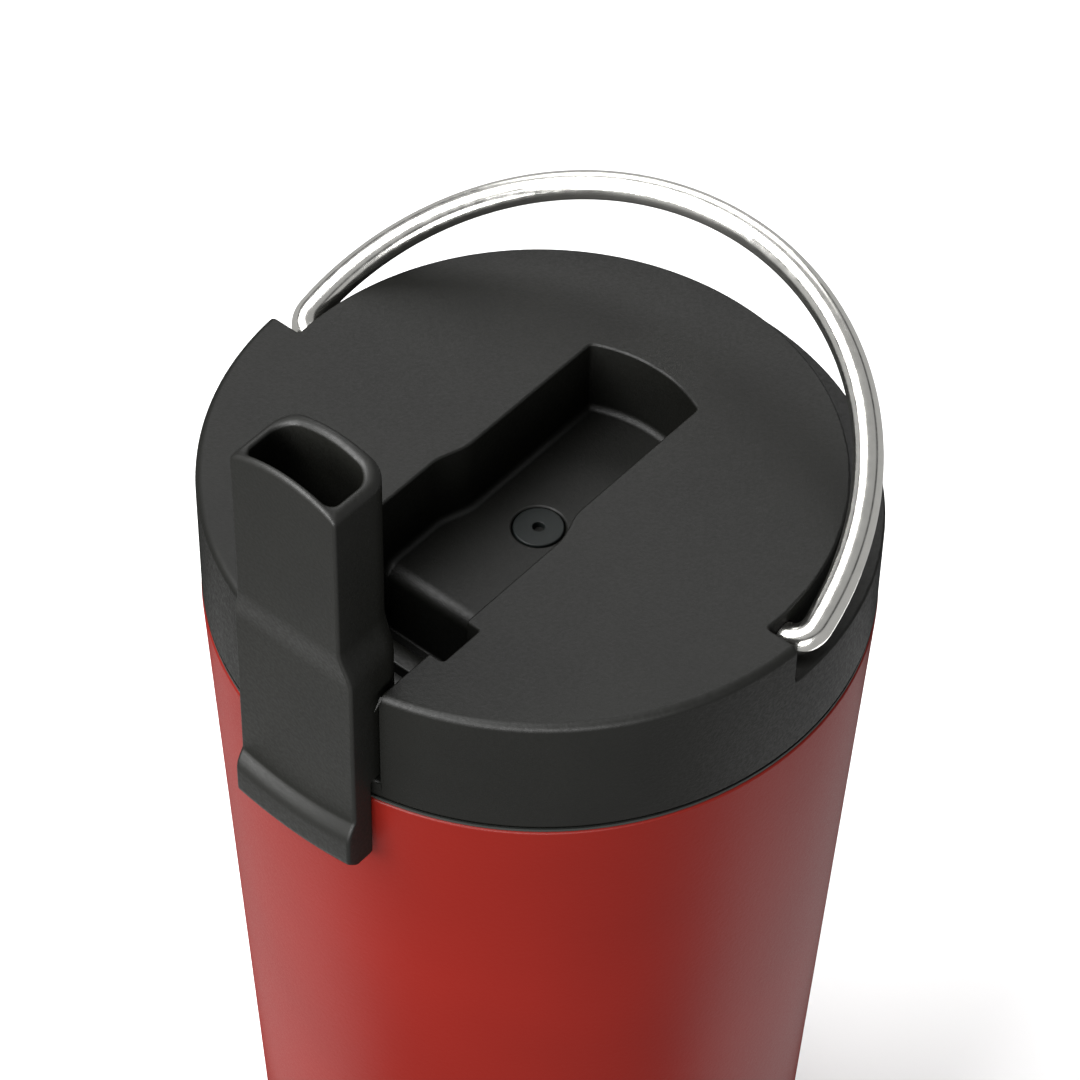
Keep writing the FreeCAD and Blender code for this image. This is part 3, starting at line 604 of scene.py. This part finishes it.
# -------------------------------------------------------------------- bail
def bail_route():
    """Centre line of the bent rod in its own plane, from pin to pin."""
    run = BAIL_R - BAIL_BEND
    centre_x = math.sqrt(run ** 2 - BAIL_BEND ** 2)
    rise = math.degrees(math.asin(BAIL_BEND / run))
    half = [(PIN_END, 0), (PIN_END + 0.3, 0), (PIN_END + 2.5, 0)]
    half += arc((centre_x, BAIL_BEND), BAIL_BEND, -90, rise, 14)
    half += arc((0, 0), BAIL_R, rise, 90, 96)[1:]
    return half + [(-x, y) for x, y in half[-2::-1]]


def make_bail():
    """Round rod along its route, tilted up about its hinge line."""
    route = [Vector((x, y, 0)) for x, y in bail_route()]
    around = 40
    rings = []
    last = len(route) - 1
    for k, point in enumerate(route):
        ahead = (route[min(k + 1, last)] - route[max(k - 1, 0)]).normalized()
        side = ahead.cross(Vector((0, 0, 1)))
        radius = ROD_R - 0.25 if k in (0, last) else ROD_R
        ring = []
        for i in range(around):
            turn = 2 * math.pi * i / around
            ring.append(point + side * radius * math.cos(turn)
                        + Vector((0, 0, 1)) * radius * math.sin(turn))
        rings.append(ring)
    rod = loft("bail_rod", rings)
    tilt = Matrix.Rotation(math.radians(BAIL_TILT), 4, "X")
    rod.data.transform(Matrix.Translation((0, 0, BAIL_Z * MM)) @ tilt)
    shade(rod, 40)
    finish_piece(rod, "bail", "bail_steel", MATERIALS["bail_steel"], "bail_handle")


# --------------------------------------------------------------------- cup
def shell_r(z):
    """Outer radius of the tapered cup."""
    return CUP_R - CUP_TAPER * (CUP_LIP - z)


def make_cup():
    """Outer wall from its round heel up to the turned-in lip."""
    foot_z = SHELL_FOOT + CUP_HEEL_R
    foot_r = shell_r(foot_z) - CUP_HEEL_R
    outside = arc((foot_r, foot_z), CUP_HEEL_R, -90, 0, 20)
    outside += arc((CUP_R - CUP_LIP_R, CUP_LIP - CUP_LIP_R), CUP_LIP_R, 0, 90, 8)
    edge, root = NECK_R
    inside = [(edge, CUP_LIP), (edge, CUP_LIP - CUP_WALL), (root, CUP_LIP - CUP_WALL)]
    inside += arc((foot_r, foot_z), CUP_HEEL_R - CUP_WALL, 0, -90, 20)
    shell = lathe("cup_wall", outside + inside)
    shade(shell, 40)
    finish_piece(shell, "mug", "cup_coat", MATERIALS["cup_coat"], "outer_shell")


def make_foot():
    """Foot pad with a ring groove, in its steel pan."""
    rim = arc((PAD_R - PAD_EDGE_R, PAD_EDGE_R), PAD_EDGE_R, -90, 0, 8)
    near, far = PAD_GROOVE
    ring = [(near, 0), (near + 0.15, PAD_GROOVE_DEEP), (far - 0.15, PAD_GROOVE_DEEP), (far, 0)]
    pad = lathe("foot_pad_disc", [(0, 0)] + ring + rim + [(PAD_R, PAD_TOP), (0, PAD_TOP)])
    shade(pad, 40)
    finish_piece(pad, "mug", "pad_silicone", MATERIALS["pad_silicone"], "foot_pad")


# --------------------------------------------------------------- materials
def shader(name):
    """New material with its node tree and shader node."""
    material = bpy.data.materials.new(name)
    material.use_nodes = True
    tree = material.node_tree
    return material, tree, tree.nodes["Principled BSDF"]


def add(tree, kind, **settings):
    """New node; a setting is an input's value if it has that name, else a property."""
    node = tree.nodes.new(kind)
    for key, value in settings.items():
        if key in node.inputs:
            node.inputs[key].default_value = value
        else:
            setattr(node, key, value)
    return node


def coordinates(tree, scale=(1, 1, 1)):
    """Object coordinates in metres, scaled along each axis."""
    place = tree.nodes.new("ShaderNodeTexCoord")
    mapping = tree.nodes.new("ShaderNodeMapping")
    mapping.inputs["Scale"].default_value = scale
    tree.links.new(place.outputs["Object"], mapping.inputs["Vector"])
    return mapping.outputs["Vector"]


def noise(tree, vector, scale, detail=2.0, roughness=0.5):
    node = add(tree, "ShaderNodeTexNoise", Scale=scale, Detail=detail, Roughness=roughness)
    tree.links.new(vector, node.inputs["Vector"])
    return node.outputs["Fac"]


def ramp(tree, value, stops):
    """Colour ramp from (position, grey or colour) stops."""
    node = tree.nodes.new("ShaderNodeValToRGB")
    elements = node.color_ramp.elements
    while len(elements) < len(stops):
        elements.new(0.5)
    for element, (position, colour) in zip(elements, stops):
        if not isinstance(colour, tuple):
            colour = (colour, colour, colour)
        element.position = position
        element.color = (*colour, 1)
    tree.links.new(value, node.inputs["Fac"])
    return node.outputs["Color"]


def bump(tree, height, strength, distance, normal=None):
    node = add(tree, "ShaderNodeBump", Strength=strength, Distance=distance)
    tree.links.new(height, node.inputs["Height"])
    if normal is not None:
        tree.links.new(normal, node.inputs["Normal"])
    return node.outputs["Normal"]


def soft_sheen(tree, surface, level, power):
    """Specular level that fades towards the outline, as on a dull surface."""
    weight = add(tree, "ShaderNodeLayerWeight", Blend=0.5)
    steps = [add(tree, "ShaderNodeMath", operation=kind)
             for kind in ("SUBTRACT", "POWER", "MULTIPLY")]
    steps[0].inputs[0].default_value = 1.0
    tree.links.new(weight.outputs["Facing"], steps[0].inputs[1])
    tree.links.new(steps[0].outputs["Value"], steps[1].inputs[0])
    steps[1].inputs[1].default_value = power
    tree.links.new(steps[1].outputs["Value"], steps[2].inputs[0])
    steps[2].inputs[1].default_value = level
    tree.links.new(steps[2].outputs["Value"], surface.inputs["Specular IOR Level"])


def moulded_plastic(name, colour, rough, grain=0.35, spread=0.12, sheen=0.40):
    """Spark-eroded plastic: fine grain, faint flow clouds, uneven gloss."""
    material, tree, surface = shader(name)
    vector = coordinates(tree)
    clouds = noise(tree, vector, 90.0, 3.0)
    fine = noise(tree, vector, 5200.0, 2.0, 0.6)
    coarse = noise(tree, vector, 1900.0, 1.0)
    dark = tuple(c * (1 - spread) for c in colour)
    light = tuple(c * (1 + spread) for c in colour)
    tree.links.new(ramp(tree, clouds, [(0.3, dark), (0.7, light)]),
                   surface.inputs["Base Color"])
    tree.links.new(ramp(tree, coarse, [(0.3, rough - 0.05), (0.7, rough + 0.05)]),
                   surface.inputs["Roughness"])
    normal = bump(tree, coarse, grain * 0.6, 0.00012)
    normal = bump(tree, fine, grain, 0.00006, normal)
    tree.links.new(normal, surface.inputs["Normal"])
    soft_sheen(tree, surface, sheen, 1.5)
    return material


def powder_coat(name, colour):
    """Satin powder coat: soft orange peel, fine speckle, faint tone drift."""
    material, tree, surface = shader(name)
    vector = coordinates(tree)
    peel = noise(tree, vector, 1500.0, 2.0, 0.55)
    speck = noise(tree, vector, 6500.0, 1.0)
    drift = noise(tree, vector, 26.0, 2.0)
    dark = tuple(c * 0.93 for c in colour)
    light = tuple(c * 1.06 for c in colour)
    tree.links.new(ramp(tree, drift, [(0.3, dark), (0.7, light)]),
                   surface.inputs["Base Color"])
    tree.links.new(ramp(tree, speck, [(0.3, 0.36), (0.7, 0.46)]),
                   surface.inputs["Roughness"])
    normal = bump(tree, peel, 0.10, 0.0002)
    normal = bump(tree, speck, 0.06, 0.00005, normal)
    tree.links.new(normal, surface.inputs["Normal"])
    soft_sheen(tree, surface, 0.24, 1.8)
    return material


def polished_steel(name, colour=(0.80, 0.79, 0.75), rough=0.19):
    """Drawn and polished rod: near-mirror with faint drawing lines."""
    material, tree, surface = shader(name)
    vector = coordinates(tree)
    haze = noise(tree, vector, 700.0, 3.0)
    pits = noise(tree, vector, 4200.0, 2.0)
    tree.links.new(ramp(tree, haze, [(0.3, rough - 0.04), (0.75, rough + 0.06)]),
                   surface.inputs["Roughness"])
    tone = tuple(c * 0.94 for c in colour)
    tree.links.new(ramp(tree, haze, [(0.25, tone), (0.7, colour)]),
                   surface.inputs["Base Color"])
    tree.links.new(bump(tree, pits, 0.05, 0.00004), surface.inputs["Normal"])
    surface.inputs["Metallic"].default_value = 1.0
    return material


def brushed_steel(name, colour=(0.62, 0.61, 0.59), rough=0.30):
    """Spun steel: fine rings round the axis."""
    material, tree, surface = shader(name)
    vector = coordinates(tree, (40, 40, 9000))
    rings = noise(tree, vector, 1.0, 3.0)
    plain = coordinates(tree)
    blotch = noise(tree, plain, 60.0, 3.0)
    tone = tuple(c * 0.9 for c in colour)
    tree.links.new(ramp(tree, blotch, [(0.3, tone), (0.7, colour)]),
                   surface.inputs["Base Color"])
    tree.links.new(ramp(tree, rings, [(0.3, rough - 0.07), (0.7, rough + 0.08)]),
                   surface.inputs["Roughness"])
    tree.links.new(bump(tree, rings, 0.08, 0.00006), surface.inputs["Normal"])
    surface.inputs["Metallic"].default_value = 1.0
    return material


def silicone(name, colour, rough=0.55):
    """Moulded silicone: smooth, slightly dusty, soft sheen."""
    material, tree, surface = shader(name)
    vector = coordinates(tree)
    dust = noise(tree, vector, 800.0, 4.0, 0.6)
    fine = noise(tree, vector, 3800.0, 2.0)
    light = tuple(c * 1.25 + 0.003 for c in colour)
    tree.links.new(ramp(tree, dust, [(0.45, colour), (0.85, light)]),
                   surface.inputs["Base Color"])
    tree.links.new(ramp(tree, dust, [(0.3, rough - 0.05), (0.8, rough + 0.12)]),
                   surface.inputs["Roughness"])
    tree.links.new(bump(tree, fine, 0.12, 0.00005), surface.inputs["Normal"])
    surface.inputs["Specular IOR Level"].default_value = 0.25
    return material


def foam(name, colour):
    """Closed-cell foam."""
    material, tree, surface = shader(name)
    vector = coordinates(tree)
    cells = add(tree, "ShaderNodeTexVoronoi", Scale=900.0)
    tree.links.new(vector, cells.inputs["Vector"])
    dark = tuple(c * 0.8 for c in colour)
    tree.links.new(ramp(tree, cells.outputs["Distance"], [(0.1, colour), (0.8, dark)]),
                   surface.inputs["Base Color"])
    surface.inputs["Roughness"].default_value = 0.85
    tree.links.new(bump(tree, cells.outputs["Distance"], 0.5, 0.0003),
                   surface.inputs["Normal"])
    return material


def crumpled_foil(name, colour=(0.86, 0.86, 0.87)):
    """Aluminium foil with soft creases."""
    material, tree, surface = shader(name)
    vector = coordinates(tree)
    folds = noise(tree, vector, 160.0, 5.0, 0.6)
    tree.links.new(ramp(tree, folds, [(0.3, 0.15), (0.7, 0.35)]), surface.inputs["Roughness"])
    tone = tuple(c * 0.9 for c in colour)
    tree.links.new(ramp(tree, folds, [(0.3, tone), (0.7, colour)]),
                   surface.inputs["Base Color"])
    tree.links.new(bump(tree, folds, 0.6, 0.0008), surface.inputs["Normal"])
    surface.inputs["Metallic"].default_value = 1.0
    return material


def sealing_glass(name, colour=(0.16, 0.18, 0.21)):
    """Dark glass bead with fine bubbles."""
    material, tree, surface = shader(name)
    vector = coordinates(tree)
    bubbles = noise(tree, vector, 2500.0, 3.0)
    light = tuple(c * 1.5 for c in colour)
    tree.links.new(ramp(tree, bubbles, [(0.4, colour), (0.8, light)]),
                   surface.inputs["Base Color"])
    tree.links.new(ramp(tree, bubbles, [(0.3, 0.08), (0.8, 0.2)]), surface.inputs["Roughness"])
    tree.links.new(bump(tree, bubbles, 0.1, 0.0001), surface.inputs["Normal"])
    return material


MATERIALS = {
    "cup_coat": powder_coat("cup_powder_coat", (0.132, 0.0068, 0.0040)),
    "cup_steel": brushed_steel("spun_steel"),
    "foil": crumpled_foil("vacuum_foil"),
    "seal_glass": sealing_glass("sealing_glass"),
    "getter_metal": brushed_steel("sintered_getter", (0.30, 0.29, 0.28), 0.6),
    "pad_silicone": silicone("foot_silicone", (0.018, 0.018, 0.018), 0.6),
    "lid_plastic": moulded_plastic("lid_plastic", (0.0044, 0.0045, 0.0037), 0.5, sheen=0.37),
    # The lid's plastic again, with a lighter base colour and stronger sheen: painted light for
    # the brighter lit front face of the spout.
    "spout_plastic_lit": moulded_plastic("spout_plastic_lit", (0.0056, 0.0057, 0.0047), 0.5, 0.2,
                                     sheen=0.52),
    "plug_plastic": moulded_plastic("plug_plastic", (0.022, 0.024, 0.0225), 0.42, grain=0.2),
    "foam": foam("lid_foam", (0.75, 0.72, 0.62)),
    "gasket_silicone": silicone("gasket_silicone", (0.05, 0.053, 0.056)),
    "vent_silicone": silicone("vent_silicone", (0.0045, 0.0062, 0.0058), 0.5),
    "bush_plastic": moulded_plastic("bush_plastic", (0.02, 0.02, 0.02), 0.4, grain=0.15),
    "bail_steel": polished_steel("bail_steel"),
}
SLOT_OF = {entry["node"]: entry["material_slot"] for entry in frame["record"]["subparts"]}


def dress_cad_nodes():
    """Every carried-over node gets its slot's material and smooth shading."""
    for name, node in frame["nodes"].items():
        node.data.materials.clear()
        node.data.materials.append(MATERIALS[SLOT_OF[name]])
        for face in node.data.polygons:
            face.use_smooth = True
        node.data.set_sharp_from_angle(angle=math.radians(30))


# ----------------------------------------------------------- stage, camera
def make_floor():
    """Pale floor, left out of reflections because soft boxes light the mug from below."""
    half = 6000
    bm = bmesh.new()
    corners = [(-half, -half), (half, -half), (half, half), (-half, half)]
    bm.faces.new([bm.verts.new((x, y, -0.1)) for x, y in corners])
    floor = to_object("floor", bm)
    material, _, surface = shader("pale_floor")
    surface.inputs["Base Color"].default_value = (0.9, 0.9, 0.9, 1)
    surface.inputs["Roughness"].default_value = 0.9
    surface.inputs["Specular IOR Level"].default_value = 0.0
    floor.data.materials.append(material)
    floor.visible_diffuse = False
    floor.visible_glossy = False


def soft_box(name, place, aim, size, power):
    """Rectangular area light aimed at a point."""
    data = bpy.data.lights.new(name, "AREA")
    data.shape = "RECTANGLE"
    data.size, data.size_y = size
    data.energy = power
    lamp = bpy.data.objects.new(name, data)
    lamp.location = place
    lamp.rotation_mode = "QUATERNION"
    lamp.rotation_quaternion = (Vector(aim) - Vector(place)).to_track_quat("-Z", "Y")
    bpy.context.scene.collection.objects.link(lamp)
    return lamp


def beside(right, away, up):
    """Place beside the mug: metres to the camera's right, away from it, and up."""
    turn = Matrix.Rotation(math.radians(CAMERA_AZIMUTH), 3, "Z")
    return turn @ Vector((right, away, up))


def make_lights():
    """Soft boxes in a pale room with one dark band half way up."""
    world = bpy.data.worlds.new("studio")
    bpy.context.scene.world = world
    world.use_nodes = True
    tree = world.node_tree
    place = tree.nodes.new("ShaderNodeTexCoord")
    parts = tree.nodes.new("ShaderNodeSeparateXYZ")
    share = add(tree, "ShaderNodeMapRange")
    share.inputs["From Min"].default_value = -1.0
    tree.links.new(place.outputs["Generated"], parts.inputs["Vector"])
    tree.links.new(parts.outputs["Z"], share.inputs["Value"])
    room = ramp(tree, share.outputs["Result"],
                [(0.69, 0.46), (0.72, 0.04), (0.78, 0.04), (0.81, 0.40)])
    tree.links.new(room, tree.nodes["Background"].inputs["Color"])
    aim = (0, 0, 0.15)
    soft_box("high_left", beside(-0.7, -0.1, 1.3), aim, (1.0, 1.0), 27.9)
    soft_box("back_top", beside(0, 1.2, 1.1), aim, (1.2, 0.8), 9.6)
    soft_box("left_front", beside(-1.0, -0.9, 0.7), aim, (0.8, 0.8), 31.6)
    soft_box("front_low", beside(0, -1.3, 0.3), aim, (0.8, 0.5), 14.2)
    for side in (-1, 1):
        glow = soft_box("table_glow", beside(0.105 * side, 0.03, 0.002), aim, (0.09, 0.16), 0.083)
        glow.rotation_mode = "XYZ"
        glow.rotation_euler = (math.pi, 0, math.radians(CAMERA_AZIMUTH))
        glow.visible_camera = False


def make_camera():
    """Camera from its bearing round the mug and small aiming angles."""
    azimuth, elevation, pitch, yaw, roll = (math.radians(a) for a in (
        CAMERA_AZIMUTH, CAMERA_ELEVATION, CAMERA_PITCH, CAMERA_YAW, CAMERA_ROLL))
    place = Vector((0, -math.cos(elevation), math.sin(elevation))) * CAMERA_DISTANCE
    ahead = Vector((math.cos(pitch) * math.sin(yaw), math.cos(pitch) * math.cos(yaw),
                    -math.sin(pitch)))
    level = Vector((math.cos(yaw), -math.sin(yaw), 0))
    above = level.cross(ahead)
    right = level * math.cos(roll) + above * math.sin(roll)
    above = above * math.cos(roll) - level * math.sin(roll)
    turn = Matrix.Rotation(azimuth, 3, "Z")
    axes = turn @ Matrix((right, above, -ahead)).transposed()
    data = bpy.data.cameras.new("camera")
    data.sensor_width = 36
    data.lens = LENS
    camera = bpy.data.objects.new("camera", data)
    camera.matrix_world = axes.to_4x4()
    camera.location = turn @ place + Vector((0, 0, LID_TOP * MM))
    bpy.context.scene.collection.objects.link(camera)
    bpy.context.scene.camera = camera


dress_cad_nodes()
make_lid_cover()
make_vent_grommet()
make_spout()
make_vent_plug()
make_bail()
make_cup()
make_foot()
make_floor()
make_lights()
make_camera()
bpy.context.scene.view_settings.view_transform = "Standard"
